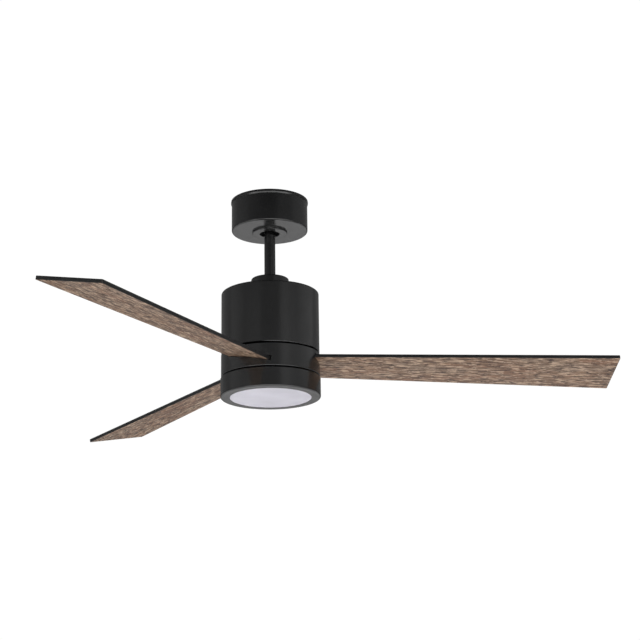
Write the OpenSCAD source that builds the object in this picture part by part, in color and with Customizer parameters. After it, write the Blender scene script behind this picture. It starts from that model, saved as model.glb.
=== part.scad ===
// Three-blade ceiling fan with a flat LED light, hung on a short downrod from a ball-type hanger bracket.
// Millimetres. The origin is the centre of the bracket's top face, in the ceiling plane, with +Z up.
// Blade A lies along +X. The outer-rotor motor turns the hub and blades; all else hangs still.

/* [Blades] */
// Diameter of the circle that the blade corners sweep
sweep_d = 1320; // [1200:10:1400]
// Thickness of a blade
blade_t = 6.6; // [5:0.2:8]
// Width of a blade at its inner end
blade_root_w = 84.4; // [76:0.2:88]
// Width of a blade at its tip
blade_tip_w = 129.8; // [110:0.2:140]
// Pitch of a blade about its own length
blade_pitch = 11.7; // [9:0.1:13]
// Droop of a blade towards its tip
blade_droop = 1.24; // [0.4:0.02:1.6]

/* [Canopy] */
// Diameter of the canopy
canopy_d = 147.2; // [146:0.2:156]
// Height of the canopy's straight cup
canopy_h = 61.9; // [58:0.1:70]
// Depth of the raised disc under the canopy
canopy_step_h = 4.1; // [3:0.1:6]
// Diameter of the raised disc under the canopy
canopy_step_d = 67.4; // [60:0.2:72]
// Diameter of the canopy's hole for the downrod
canopy_hole_d = 38.6; // [38:0.2:44]
// Height of the trim ring at the ceiling
trim_h = 7; // [7:0.5:10]

/* [Downrod] */
// Diameter of the downrod
rod_d = 21.3; // [19.4:0.1:21.6]
// Distance from the ceiling to the top of the coupling cover
cover_drop = 158.7; // [120:0.1:400]
// Diameter of the coupling cover
cover_d = 72.2; // [70:0.2:80]
// Height of the coupling cover
cover_h = 30.1; // [28:0.1:34]

/* [Motor housing and hub] */
// Diameter of the motor housing
housing_d = 186.6; // [182:0.2:200]
// Height of the motor housing
housing_h = 118.8; // [118.5:0.1:121]
// Diameter of the turning hub band
hub_d = 187.4; // [187:0.2:200]
// Height of the turning hub band
hub_h = 43.4; // [43:0.1:50]
// Running gap above and below the hub
gap = 2.8; // [1.5:0.1:3]

/* [Light] */
// Diameter of the light housing
light_d = 189.8; // [184:0.2:200]
// Height of the light housing
light_h = 36.8; // [36:0.1:44]
// Diameter of the visible lens
lens_d = 154; // [150:0.5:156]

/* [Ball joint] */
// Depth of the ball's centre below the ceiling
ball_drop = 32; // [31:0.1:33]
// Radius of the hanger ball
ball_r = 24; // [23.6:0.1:24]
// Distance between the bracket's two fixing slots
slot_spacing = 89; // [86:0.5:92]

/* [Hidden] */
$fn = 96;

PAINT = "#202124";
ZINC = "#b9bcc0";
STEEL = "#8d9094";
COPPER = "#b8693a";
PLASTIC = "#2b2b2e";
BOARD = "#2f6b44";
RUBBER = "#1b1b1b";
WOOD = "#7d6f63";
OPAL = "#e6e6ef";

cut = 1;                        // how far a cutter runs past the face that it cuts
run_gap = 0.3;                  // gap between bodies that turn against each other
slip = 0.05;                    // gap round a fixed part in its hole
sheet = 1.2;                    // sheet metal of the canopy and coupling cover
shell = 2;                      // wall of the motor housing, hub and light housing

rod_r = rod_d / 2;
pin_r = 3;                      // both cross pins
set_screw_r = 2.5;
screw_r = 2.4;                  // housing, hub and blade iron screws
screw_thread_r = 2.5;           // their threaded holes
screw_clear_r = 2.6;            // their clearance holes
screw_head_h = 2.6;
small_screw_r = 2;              // bell, blade and light screws
canopy_r = canopy_d / 2;
canopy_in_r = canopy_r - sheet;
cover_r = cover_d / 2;
housing_r = housing_d / 2;
hub_r = hub_d / 2;
light_r = light_d / 2;
lens_r = lens_d / 2;

// Levels, from the ceiling down
ball_z = -ball_drop;
rod_top = ball_z + 16;          // the downrod ends above the ball
cover_z = -cover_drop;
housing_z = cover_z - cover_h;
housing_bottom = housing_z - housing_h;
hub_z = housing_bottom - gap;
hub_bottom = hub_z - hub_h;
light_z = hub_bottom - gap;
light_bottom = light_z - light_h;
plug_z = rod_top + 2;
blade_drop = 18.5;              // from the hub's top
blade_z = hub_z - blade_drop;   // the blades' middle planes meet on the axis here

// Hanger bracket
bracket_t = 2;
bracket_l = 116;
bracket_w = 40;
ear_x = canopy_in_r - 1.4;      // end of the plate's narrow ends
ear_w = 22;
lug_t = 6;
lug_w = 18;
lug_bottom = -10;
slot_l = 20;
slot_w = 5.5;
cable_hole_r = 12;
leg_x = 31.5;
leg_w = 26;
foot_in = 18;                   // inner end of a leg's foot and of its welded flange
ground_screw_at = [-13, 15];
ground_screw_r = 2;
liner_t = 1.5;
liner_r = ball_r + run_gap;
socket_r = liner_r + liner_t + run_gap;
socket_top = -9;                // from the ball's centre
socket_bottom = -20;
canopy_screw_z = -4;
canopy_screw_r = 1.5;
canopy_screw_head_r = 2.6;
canopy_screw_head_h = 1.5;
cross_pin_z = 5;                // above the ball's centre
key_w = 3;                      // key peg in the ball's groove, which stops the ball from turning
key_tip = 21.5;                 // from the ball's centre
groove_w = 5.2;
groove_in = 20.5;

// Receiver and its wiring, beside and on the -X side of the bracket
receiver_l = 64;
receiver_w = 25;
receiver_h = 21;
receiver_y = 36.5;
receiver_z = -canopy_h + sheet;
receiver_wall = 1.6;
lead_hole_z = 10;
lead_r = 0.8;                   // motor and lamp leads
connector_x = -52;
connector_ys = [-14, 0, 14];
connector_z = -34;

// Downrod, coupling cover and its grommet
rod_wall = 2;
cover_hole_r = 13;
grommet_r = 15;
grommet_top = 1.5;              // above the cover
grommet_bottom = -3;

// Yoke and motor
neck_r = 15;
neck_top = cover_z - 6;
yoke_pin_z = neck_top - 10;
yoke_screw_z = neck_top - 18;
rod_bottom = housing_z - 4;
flange_z = housing_z - shell;
flange_t = 6;
flange_r = 31;
boss_r = 14;
boss_h = 8;
housing_screw_circle = 25;
shaft_r = 8.5;
shaft_in_r = 6;
shaft_top = flange_z - flange_t;
bearing_r = 20;
bearing_w = 12;
race_t = 3.4;
bell_r = 75;
bell_t = 5;
rim_t = 5;
bell_top = flange_z - flange_t - boss_h - 2.5;
upper_bearing_z = bell_top - 3;
bearing_ball_r = 3.2;
bearing_ball_count = 9;
magnet_t = 4;
stator_z = bell_top - 34;
stator_h = 24;
stator_r = bell_r - rim_t - magnet_t - 1;
stator_hub_r = 32;
tooth_count = 12;
tooth_w = 9;
magnet_count = 14;
motor_board_z = stator_z - stator_h - 7;
motor_board_r = 56;
capacitor_r = 5;
capacitor_h = 10;
bell_split = stator_z - stator_h - 4;
lower_disc_z = bell_split - 24;
lower_bearing_z = lower_disc_z + bearing_w - 1;
foot_in_r = 28;                 // ring foot of the lower bell, which the hub is screwed to
foot_r = 44;
bell_bolt_circle = bell_r + 4;
bell_ear_r = 5;
bell_ear_h = 6;
bearing_seat_r = bearing_r + 5;
bell_bore_r = shaft_r + race_t + 1;     // clears the fixed inner races
hub_screw_circle = 36;
hub_top_t = 3;

// Light
plate_t = 2;
plate_r = 80;
nut_h = 5;
deck_hole_r = 20;
deck_z = light_z - plate_t;     // top face of the light housing's inner deck
sink_r = 74;
sink_t = 1.5;
sink_z = light_bottom + 17;     // underside of the heat sink's pan
driver_x = 22;
driver_l = 44;
driver_w = 34;
driver_h = 9;
board_t = 1.6;
board_r = 70;
board_screw_circle = 64;
light_screw_circle = 50;
lip_t = 2;
shaft_bottom = deck_z - 7;

blade_angles = [0, -120, 120];
blade_root_r = 48;
blade_tip_r = sqrt(pow(sweep_d / 2, 2) - pow(blade_tip_w / 2, 2));
blade_corner_r = 2;
iron_in = 52;
iron_out = 86;
iron_w = 56;
iron_bolt_at = [62, 18];        // along and across the blade
blade_screws_at = [[58, -16], [58, 16], [80, 0]];

// ---------- shared shapes ----------

// Removes what lies outside a rounded corner of radius r; out points from the body to the corner
module round_off(corner, r, out) {
    translate([corner.x - out.x * r, corner.y - out.y * r])
        difference() {
            translate([min(0, out.x) * (r + cut), min(0, out.y) * (r + cut)])
                square(r + cut);
            circle(r);
        }
}

// A rectangle in the half plane that rotate_extrude turns: radii r0 to r1, heights z0 to z1
module band(r0, r1, z0, z1) {
    translate([r0, z0]) square([r1 - r0, z1 - z0]);
}

module ring(r0, r1, z0, z1) {
    rotate_extrude() band(r0, r1, z0, z1);
}

// Copies on a circle, the first one at angle first
module around(count, radius, first = 0) {
    for (i = [0:count - 1])
        rotate([0, 0, first + i * 360 / count])
            translate([radius, 0, 0])
                children();
}

// A screw with its head's underside at z = 0 and its shank below
module screw(shank_r, length, head_r, head_h) {
    translate([0, 0, -length]) cylinder(r = shank_r, h = length);
    cylinder(r = head_r, h = head_h);
}

function unit(v) = v / norm(v);

// Points of a cubic curve through its end points, pulled by the two between them
function curve(p, steps) = [
    for (i = [0:steps])
        let (t = i / steps, s = 1 - t)
        s * s * s * p[0] + 3 * s * s * t * p[1] + 3 * s * t * t * p[2] + t * t * t * p[3]
];

function tangent(path, i) =
    unit(path[min(i + 1, len(path) - 1)] - path[max(i - 1, 0)]);

// A wire of radius r along a path; across is any direction that the path never takes
module wire(path, r, across) {
    sides = 8;
    last = len(path) - 1;
    points = [
        for (i = [0:last])
            let (along = tangent(path, i), u = unit(cross(across, along)), v = cross(along, u))
            for (k = [0:sides - 1])
                path[i] + r * (cos(360 * k / sides) * u + sin(360 * k / sides) * v)
    ];
    walls = [
        for (i = [0:last - 1], k = [0:sides - 1])
            [i * sides + k, i * sides + (k + 1) % sides,
             (i + 1) * sides + (k + 1) % sides, (i + 1) * sides + k]
    ];
    start = [for (k = [sides - 1:-1:0]) k];
    end = [for (k = [0:sides - 1]) last * sides + k];
    polyhedron(points = points, faces = concat([start, end], walls));
}

// ---------- hanger bracket and canopy ----------

module fixing_slot() {
    straight = slot_l - slot_w;
    for (side = [-1, 1])
        translate([side * straight / 2, 0, -bracket_t - cut])
            cylinder(d = slot_w, h = bracket_t + 2 * cut);
    translate([-straight / 2, -slot_w / 2, -bracket_t - cut])
        cube([straight, slot_w, bracket_t + 2 * cut]);
}

module bracket_plate() {
    translate([-bracket_l / 2, -bracket_w / 2, -bracket_t])
        cube([bracket_l, bracket_w, bracket_t]);
    translate([-ear_x, -ear_w / 2, -bracket_t])
        cube([2 * ear_x, ear_w, bracket_t]);
}

// Block welded under the end of the plate; a canopy screw threads into it
module canopy_lug() {
    translate([ear_x - lug_t, -lug_w / 2, lug_bottom])
        cube([lug_t, lug_w, -bracket_t - lug_bottom]);
}

// Leg of the cradle: a flange welded under the plate, and an inward foot that carries the ball socket
module cradle_leg() {
    foot_z = ball_z + socket_bottom;
    translate([leg_x - bracket_t, -leg_w / 2, foot_z])
        cube([bracket_t, leg_w, -bracket_t - foot_z]);
    for (z = [foot_z, -2 * bracket_t])
        translate([foot_in, -leg_w / 2, z])
            cube([leg_x - foot_in, leg_w, bracket_t]);
}

module ball_socket() {
    translate([0, 0, ball_z])
        rotate_extrude()
            intersection() {
                circle(socket_r + bracket_t);
                band(12, socket_r + bracket_t + cut, socket_bottom, socket_top);
            }
}

// Tab beside the ball, which carries the key peg
module key_tab() {
    outer = socket_r + bracket_t;
    translate([-4, -outer, ball_z - 12])
        cube([8, 4, 15]);
}

module key_peg() {
    translate([0, -socket_r - 1, ball_z])
        rotate([-90, 0, 0])
            cylinder(d = key_w, h = socket_r + 1 - key_tip);
}

module hanger_bracket() {
    color(ZINC) {
        difference() {
            bracket_plate();
            for (side = [-1, 1])
                translate([side * slot_spacing / 2, 0, 0]) fixing_slot();
            translate([0, 0, -bracket_t - cut])
                cylinder(r = cable_hole_r, h = bracket_t + 2 * cut);
            translate([ground_screw_at.x, ground_screw_at.y, -bracket_t - cut])
                cylinder(r = ground_screw_r + slip, h = bracket_t + 2 * cut);
        }
    }
}

module canopy_lugs() {
    color(ZINC)
        for (turn = [0, 180])
            rotate([0, 0, turn])
                difference() {
                    canopy_lug();
                    canopy_screw_hole(canopy_screw_r + slip);
                }
}

// Welded under the bracket's plate; it holds the ball from both sides
module ball_cradle() {
    color(ZINC) {
        difference() {
            union() {
                for (turn = [0, 180])
                    rotate([0, 0, turn]) cradle_leg();
                ball_socket();
                key_tab();
            }
            translate([0, 0, ball_z]) sphere(r = socket_r);
        }
        key_peg();
    }
}

// Countersunk hole along X through the canopy wall and a canopy lug
module canopy_screw_hole(r) {
    head_x = canopy_r - 0.1;
    sink_h = canopy_screw_head_h + 0.1;
    translate([ear_x - lug_t - 2 * cut, 0, canopy_screw_z])
        rotate([0, 90, 0])
            cylinder(r = r, h = 2 * lug_t);
    translate([head_x - sink_h, 0, canopy_screw_z])
        rotate([0, 90, 0])
            cylinder(r1 = r, r2 = canopy_screw_head_r + slip, h = sink_h);
    translate([head_x, 0, canopy_screw_z])
        rotate([0, 90, 0])
            cylinder(r = canopy_screw_head_r + slip, h = cut);
}

module canopy_screws() {
    tip_x = ear_x - 7;
    head_x = canopy_r - 0.15;
    head_bottom = head_x - canopy_screw_head_h;
    color(STEEL)
        for (turn = [0, 180])
            rotate([0, 0, turn])
                translate([0, 0, canopy_screw_z])
                    rotate([0, 90, 0]) {
                        translate([0, 0, tip_x])
                            cylinder(r = canopy_screw_r, h = head_bottom - tip_x);
                        translate([0, 0, head_bottom])
                            cylinder(r1 = canopy_screw_r, r2 = canopy_screw_head_r, h = canopy_screw_head_h);
                    }
}

module ground_screw() {
    color("#3f8f52")
        translate([ground_screw_at.x, ground_screw_at.y, -bracket_t])
            mirror([0, 0, 1])
                screw(ground_screw_r, bracket_t - 0.3, 4, 2.6);
}

module canopy_profile() {
    step_r = canopy_step_d / 2;
    step_z = -canopy_h - canopy_step_h;
    edge_r = 3;
    step_edge_r = 2;
    fillet_r = 2;               // inside the cup's bottom corner
    fillet_x = canopy_in_r - fillet_r;
    floor_z = -canopy_h + sheet;
    difference() {
        union() {
            band(0, canopy_r, -canopy_h, 0);
            band(0, step_r, step_z, -canopy_h + cut);
        }
        band(-cut, canopy_in_r, floor_z, cut);
        band(-cut, step_r - sheet, step_z + sheet, -canopy_h + 2 * cut);
        band(-cut, canopy_hole_d / 2, step_z - cut, 0);
        round_off([canopy_r, -canopy_h], edge_r, [1, -1]);
        round_off([step_r, step_z], step_edge_r, [1, -1]);
    }
    difference() {
        band(fillet_x, canopy_in_r + 0.2, floor_z - 0.2, floor_z + fillet_r);
        translate([fillet_x, floor_z + fillet_r]) circle(fillet_r);
    }
}

module canopy() {
    color(PAINT)
        difference() {
            rotate_extrude() canopy_profile();
            for (turn = [0, 180])
                rotate([0, 0, turn]) canopy_screw_hole(canopy_screw_r + 0.3);
        }
}

module canopy_trim_ring() {
    outer = canopy_r + 1.4;
    color(PAINT)
        rotate_extrude()
            difference() {
                band(canopy_r + slip, outer, -trim_h, 0);
                round_off([outer, -trim_h], 1.1, [1, -1]);
            }
}

// ---------- remote receiver and wiring in the canopy ----------

module receiver_block(z0, z1) {
    translate([-receiver_l / 2, receiver_y, receiver_z + z0])
        cube([receiver_l, receiver_w, z1 - z0]);
}

module receiver_case() {
    wall = receiver_wall;
    color(PLASTIC)
        difference() {
            receiver_block(0, receiver_h - wall);
            translate([-receiver_l / 2 + wall, receiver_y + wall, receiver_z + wall])
                cube([receiver_l - 2 * wall, receiver_w - 2 * wall, receiver_h]);
            translate([-receiver_l / 2 - cut, receiver_y + receiver_w / 2, receiver_z + lead_hole_z])
                rotate([0, 90, 0])
                    cylinder(r = 4, h = wall + 2 * cut);
        }
}

// Rectangular post centred on the receiver, inset from its sides
module receiver_inset(inset, z, h) {
    translate([-receiver_l / 2 + inset, -receiver_w / 2 + inset, z])
        cube([receiver_l - 2 * inset, receiver_w - 2 * inset, h]);
}

module receiver_lid() {
    rim_out = receiver_wall + 0.2;
    rim_in = rim_out + 1.4;
    rim_h = 1;
    color(PLASTIC) {
        receiver_block(receiver_h - receiver_wall, receiver_h);
        translate([0, receiver_y + receiver_w / 2, receiver_z + receiver_h - receiver_wall - rim_h])
            difference() {
                receiver_inset(rim_out, 0, rim_h);
                receiver_inset(rim_in, -cut, rim_h + cut);
            }
    }
}

module receiver_leads() {
    start = [-receiver_l / 2 + 2, receiver_y + receiver_w / 2, receiver_z + lead_hole_z];
    color("#d8d8d8")
        for (i = [0:2]) {
            from = start + [0, 0, 2.4 * (i - 1)];
            to = [connector_x, connector_ys[i], connector_z - 2];
            route = curve([from, from + [-22, 0, 0], to + [0, 0, -16], to], 12);
            wire(route, 1, [0.4, 0.7, 0.2]);
        }
}

// Twist-on connectors, open end down
module wire_connectors() {
    color("#c9822f")
        for (y = connector_ys)
            translate([connector_x, y, connector_z])
                difference() {
                    union() {
                        cylinder(r1 = 5.5, r2 = 3.5, h = 15);
                        cylinder(r = 5.9, h = 4);
                        translate([0, 0, 15]) sphere(r = 3.5);
                    }
                    translate([0, 0, -cut]) cylinder(r = 3.2, h = 12 + cut);
                }
}

// ---------- ball joint and downrod ----------

module ball_liner() {
    color("#e9e6da")
        translate([0, 0, ball_z])
            rotate_extrude()
                intersection() {
                    difference() {
                        circle(liner_r + liner_t);
                        circle(liner_r);
                    }
                    band(8, ball_r + 5, socket_bottom + 1, socket_top);
                }
}

module hanger_ball() {
    ball_top = 14;
    color(PLASTIC)
        translate([0, 0, ball_z])
            difference() {
                rotate_extrude()
                    intersection() {
                        circle(ball_r);
                        band(rod_r + slip, ball_r + cut, socket_bottom - 1, ball_top);
                    }
                translate([-ball_r - cut, 0, cross_pin_z])
                    rotate([0, 90, 0])
                        cylinder(r = pin_r + slip, h = 2 * ball_r + 2 * cut);
                translate([-ball_r - cut, -pin_r - slip, cross_pin_z])
                    cube([2 * ball_r + 2 * cut, 2 * (pin_r + slip), ball_top]);
                translate([-groove_w / 2, -ball_r - cut, socket_bottom - 2])
                    cube([groove_w, ball_r + cut - groove_in, ball_top - socket_bottom + 3]);
                translate([0, rod_r, -3])
                    rotate([-90, 0, 0])
                        cylinder(r = set_screw_r + slip, h = ball_r);
            }
}

module ball_cross_pin() {
    color(STEEL)
        translate([-20, 0, ball_z + cross_pin_z])
            rotate([0, 90, 0])
                cylinder(r = pin_r, h = 40);
}

module ball_set_screw() {
    color(STEEL)
        translate([0, rod_r + slip, ball_z - 3])
            rotate([-90, 0, 0])
                difference() {
                    cylinder(r = set_screw_r, h = 11);
                    translate([0, 0, 9]) cylinder(r = 1.4, h = 2 + cut, $fn = 6);
                }
}

module downrod() {
    color(PAINT)
        difference() {
            ring(rod_r - rod_wall, rod_r, rod_bottom, rod_top);
            for (z = [ball_z + cross_pin_z, yoke_pin_z])
                translate([-rod_r - cut, 0, z])
                    rotate([0, 90, 0])
                        cylinder(r = pin_r + slip, h = rod_d + 2 * cut);
        }
}

// Three leads up the downrod, passing the cross pins on their +Y side
module motor_leads() {
    leads_bottom = shaft_top - 6;
    color("#d8d8d8")
        for (i = [-1:1])
            translate([1.9 * i, 4.4, leads_bottom])
                cylinder(r = lead_r, h = plug_z - leads_bottom);
}

module harness_plug() {
    color("#e9e6da")
        translate([0, 5, plug_z])
            difference() {
                translate([-5, -2.5, 0]) cube([10, 5, 8]);
                for (i = [-1:1])
                    translate([3 * i - 1, -1, 4]) cube([2, 2, 4 + cut]);
            }
}

module coupling_cover() {
    color(PAINT)
        translate([0, 0, cover_z])
            rotate_extrude()
                difference() {
                    band(cover_hole_r, cover_r, -cover_h, 0);
                    difference() {
                        band(0, cover_r - sheet, -cover_h - cut, -sheet);
                        round_off([cover_r - sheet, -sheet], 0.8, [1, 1]);
                    }
                    round_off([cover_r, 0], 2, [1, 1]);
                }
}

module cover_grommet() {
    color(RUBBER)
        translate([0, 0, cover_z])
            rotate_extrude() {
                band(rod_r + slip, cover_hole_r, grommet_bottom, grommet_top);
                band(rod_r + slip, grommet_r, 0, grommet_top);
                band(rod_r + slip, grommet_r, grommet_bottom, -sheet);
            }
}

// ---------- yoke, housing and motor ----------

module housing_screw_places() {
    around(3, housing_screw_circle, 60) children();
}

module yoke_pin_hole(r) {
    translate([-neck_r - cut, 0, yoke_pin_z])
        rotate([0, 90, 0])
            cylinder(r = r, h = 2 * neck_r + 2 * cut);
}

module motor_yoke() {
    color(STEEL)
        difference() {
            rotate_extrude() {
                band(rod_r + slip, neck_r, rod_bottom, neck_top);
                band(shaft_in_r, flange_r, shaft_top, flange_z);
                band(shaft_r, boss_r, shaft_top - boss_h, shaft_top);
            }
            translate([0, 0, rod_bottom]) cylinder(r = rod_r + slip, h = flange_z - rod_bottom + cut);
            yoke_pin_hole(pin_r + slip);
            for (turn = [0, 180])
                rotate([0, 0, turn])
                    translate([0, rod_r, yoke_screw_z])
                        rotate([-90, 0, 0])
                            cylinder(r = set_screw_r + slip, h = neck_r);
            housing_screw_places()
                translate([0, 0, shaft_top - cut])
                    cylinder(r = screw_thread_r, h = flange_t + 2 * cut);
        }
}

module yoke_pin() {
    color(STEEL)
        translate([-neck_r - 2.5, 0, yoke_pin_z])
            rotate([0, 90, 0]) {
                cylinder(r = pin_r, h = 2 * neck_r + 7);
                cylinder(r = 5, h = 2);
            }
}

module pin_clip() {
    color(STEEL)
        translate([neck_r + 0.5, 0, yoke_pin_z])
            rotate([0, 90, 0])
                difference() {
                    cylinder(r = 6, h = 1);
                    translate([0, 0, -cut]) cylinder(r = pin_r, h = 1 + 2 * cut);
                    translate([-1.5, 0, -cut]) cube([3, 8, 1 + 2 * cut]);
                }
}

module yoke_set_screws() {
    color(STEEL)
        for (turn = [0, 180])
            rotate([0, 0, turn])
                translate([0, rod_r + slip, yoke_screw_z])
                    rotate([-90, 0, 0]) {
                        cylinder(r = set_screw_r, h = 9);
                        translate([0, 0, 5]) cylinder(r = 4, h = 4, $fn = 6);
                    }
}

// Cuts a chamfer off the outer lower edge of a wall of radius r
module lower_chamfer(r, z) {
    chamfer = 1;
    translate([r, z])
        polygon([[-chamfer - cut, -cut], [cut, -cut], [cut, chamfer + cut]]);
}

module housing_profile() {
    difference() {
        band(neck_r + 1, housing_r, -housing_h, 0);
        difference() {
            band(0, housing_r - shell, -housing_h - cut, -shell);
            round_off([housing_r - shell, -shell], 1.5, [1, 1]);
        }
        round_off([housing_r, 0], 2.5, [1, 1]);
        lower_chamfer(housing_r, -housing_h);
    }
}

module motor_housing() {
    color(PAINT)
        translate([0, 0, housing_z])
            difference() {
                rotate_extrude() housing_profile();
                housing_screw_places()
                    translate([0, 0, -shell - cut])
                        cylinder(r = screw_clear_r, h = shell + 2 * cut);
            }
}

module housing_screws() {
    color(STEEL)
        housing_screw_places()
            translate([0, 0, housing_z])
                screw(screw_r, shell + flange_t, 4.5, screw_head_h);
}

module motor_shaft() {
    color(STEEL)
        difference() {
            ring(shaft_in_r, shaft_r, shaft_bottom, shaft_top);
            translate([0, 0, stator_z + 6])
                rotate([0, 90, 0])
                    cylinder(r = 2.5, h = shaft_r + cut);
        }
}

module stator_core() {
    tip_angle = 12.5;
    color(STEEL)
        translate([0, 0, stator_z - stator_h])
            linear_extrude(stator_h)
                difference() {
                    union() {
                        circle(stator_hub_r);
                        for (i = [0:tooth_count - 1])
                            rotate(i * 360 / tooth_count) {
                                translate([stator_hub_r - 4, -tooth_w / 2])
                                    square([stator_r - stator_hub_r + 1, tooth_w]);
                                intersection() {
                                    difference() {
                                        circle(stator_r);
                                        circle(stator_r - 5);
                                    }
                                    polygon([[0, 0], 90 * [cos(tip_angle), -sin(tip_angle)],
                                             90 * [cos(tip_angle), sin(tip_angle)]]);
                                }
                            }
                    }
                    circle(shaft_r);
                }
}

module stator_coils() {
    inner = 36.5;
    outer = stator_r - 6;
    wind = 3.8;                 // build-up of the winding
    half_w = tooth_w / 2 + 0.2;
    half_h = stator_h / 2 + 0.2;
    wound_h = stator_h / 2 + wind;
    color(COPPER)
        around(tooth_count, inner)
            translate([0, 0, stator_z - stator_h / 2])
                difference() {
                    translate([0, -half_w - wind, -wound_h])
                        cube([outer - inner, 2 * (half_w + wind), 2 * wound_h]);
                    translate([-cut, -half_w, -half_h])
                        cube([outer - inner + 2 * cut, 2 * half_w, 2 * half_h]);
                }
}

module motor_board() {
    color(BOARD)
        ring(shaft_r, motor_board_r, motor_board_z - board_t, motor_board_z);
}

module motor_capacitors() {
    color(PLASTIC)
        around(4, 42, 20)
            translate([0, 0, motor_board_z - board_t - capacitor_h])
                cylinder(r = capacitor_r, h = capacitor_h);
}

module bell_bolt_places() {
    around(6, bell_bolt_circle) children();
}

// Ears outside a bell's wall, from level z up
module bell_ears(z) {
    difference() {
        bell_bolt_places()
            translate([0, 0, z]) cylinder(r = bell_ear_r, h = bell_ear_h);
        translate([0, 0, z - cut]) cylinder(r = bell_r - 1, h = bell_ear_h + 2 * cut);
    }
}

module bell_bolt_holes() {
    bell_bolt_places()
        translate([0, 0, bell_split - bell_ear_h - cut])
            cylinder(r = small_screw_r + slip, h = 2 * (bell_ear_h + cut));
}

module upper_bell() {
    color(STEEL)
        difference() {
            union() {
                rotate_extrude()
                    difference() {
                        union() {
                            band(bell_bore_r, bell_r, bell_top - bell_t, bell_top);
                            band(bell_r - rim_t, bell_r, bell_split, bell_top);
                            band(bell_bore_r, bearing_seat_r, upper_bearing_z - bearing_w, bell_top);
                        }
                        band(0, bearing_r, upper_bearing_z - bearing_w - cut, upper_bearing_z);
                    }
                bell_ears(bell_split);
            }
            bell_bolt_holes();
        }
}

module lower_bell() {
    color(STEEL)
        difference() {
            union() {
                rotate_extrude()
                    difference() {
                        union() {
                            band(bell_bore_r, bell_r, lower_disc_z - bell_t, lower_disc_z);
                            band(bell_r - rim_t, bell_r, lower_disc_z - bell_t, bell_split);
                            band(bell_bore_r, bearing_seat_r, lower_disc_z - bell_t, lower_bearing_z);
                            band(foot_in_r, foot_r, hub_z, lower_disc_z);
                        }
                        band(0, bearing_r, lower_bearing_z - bearing_w, lower_bearing_z + cut);
                    }
                bell_ears(bell_split - bell_ear_h);
            }
            bell_bolt_holes();
            hub_screw_places()
                translate([0, 0, hub_z - cut]) cylinder(r = screw_thread_r, h = 8 + cut);
        }
}

module rotor_magnets() {
    span = 360 / magnet_count - 3;
    outer = bell_r - rim_t;
    color("#55585c")
        translate([0, 0, bell_split + 1])
            for (i = [0:magnet_count - 1])
                rotate([0, 0, i * 360 / magnet_count])
                    rotate_extrude(angle = span)
                        band(outer - magnet_t, outer, 0, stator_h + 5);
}

module bell_bolts() {
    color(STEEL)
        bell_bolt_places()
            translate([0, 0, bell_split + bell_ear_h])
                screw(small_screw_r, 2 * bell_ear_h - 1, 3.6, 2.4);
}

module races(inner, outer, groove_r) {
    for (z = [upper_bearing_z, lower_bearing_z])
        translate([0, 0, z - bearing_w / 2])
            rotate_extrude()
                difference() {
                    band(inner, outer, -bearing_w / 2, bearing_w / 2);
                    translate([(shaft_r + bearing_r) / 2, 0]) circle(groove_r);
                }
}

module bearing_inner_races() {
    color(STEEL) races(shaft_r, shaft_r + race_t, bearing_ball_r + run_gap);
}

module bearing_outer_races() {
    color(STEEL) races(bearing_r - race_t, bearing_r, bearing_ball_r + slip);
}

module bearing_balls() {
    color(ZINC)
        for (z = [upper_bearing_z, lower_bearing_z])
            around(bearing_ball_count, (shaft_r + bearing_r) / 2)
                translate([0, 0, z - bearing_w / 2])
                    sphere(r = bearing_ball_r);
}

// ---------- hub and blades ----------

module hub_screw_places() {
    around(6, hub_screw_circle, 30) children();
}

// Puts its children in the frame of a blade: X along the blade, Z square to its faces
module on_blade(angle) {
    rotate([0, 0, angle])
        translate([0, 0, blade_z])
            rotate([0, blade_droop, 0])
                rotate([-blade_pitch, 0, 0])
                    children();
}

module hub_profile() {
    difference() {
        band(shaft_r + 5.5, hub_r, -hub_h, 0);
        band(0, hub_r - shell, -hub_h - cut, -hub_top_t);
        round_off([hub_r, 0], 0.8, [1, 1]);
        lower_chamfer(hub_r, -hub_h);
    }
}

module iron_bolt_places() {
    for (angle = blade_angles, side = [-1, 1])
        rotate([0, 0, angle])
            translate([iron_bolt_at.x, side * iron_bolt_at.y, 0])
                children();
}

module hub_screw_hole() {
    translate([0, 0, hub_z - hub_top_t - cut])
        cylinder(r = screw_clear_r, h = hub_top_t + 2 * cut);
}

module blade_hub() {
    slot_half = blade_root_w / 2 + 4.5;
    slot_h = blade_t + 2.4;
    color(PAINT)
        difference() {
            translate([0, 0, hub_z]) rotate_extrude() hub_profile();
            for (angle = blade_angles)
                on_blade(angle)
                    translate([hub_r - 25, -slot_half, -slot_h / 2])
                        cube([40, 2 * slot_half, slot_h]);
            hub_screw_places() hub_screw_hole();
            iron_bolt_places() hub_screw_hole();
        }
}

module hub_screws() {
    color(STEEL)
        hub_screw_places()
            translate([0, 0, hub_z - hub_top_t])
                mirror([0, 0, 1])
                    screw(screw_r, hub_top_t + 6, 4.4, screw_head_h);
}

// Die-cast wedge between the flat hub disc and the pitched blade
module blade_iron(angle) {
    top = hub_z - hub_top_t;
    low = blade_z - 20;         // below the blade's top face all along the iron
    color(STEEL)
        difference() {
            rotate([0, 0, angle])
                translate([iron_in, -iron_w / 2, low])
                    cube([iron_out - iron_in, iron_w, top - low]);
            on_blade(angle)
                translate([0, -iron_w, blade_t / 2 - iron_w])
                    cube([2 * iron_out, 2 * iron_w, iron_w]);
            iron_bolt_places()
                translate([0, 0, top - 5]) cylinder(r = screw_thread_r, h = 5 + cut);
            blade_screw_places(angle)
                translate([0, 0, -cut]) cylinder(r = small_screw_r + slip, h = 4 + cut);
        }
}

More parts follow.
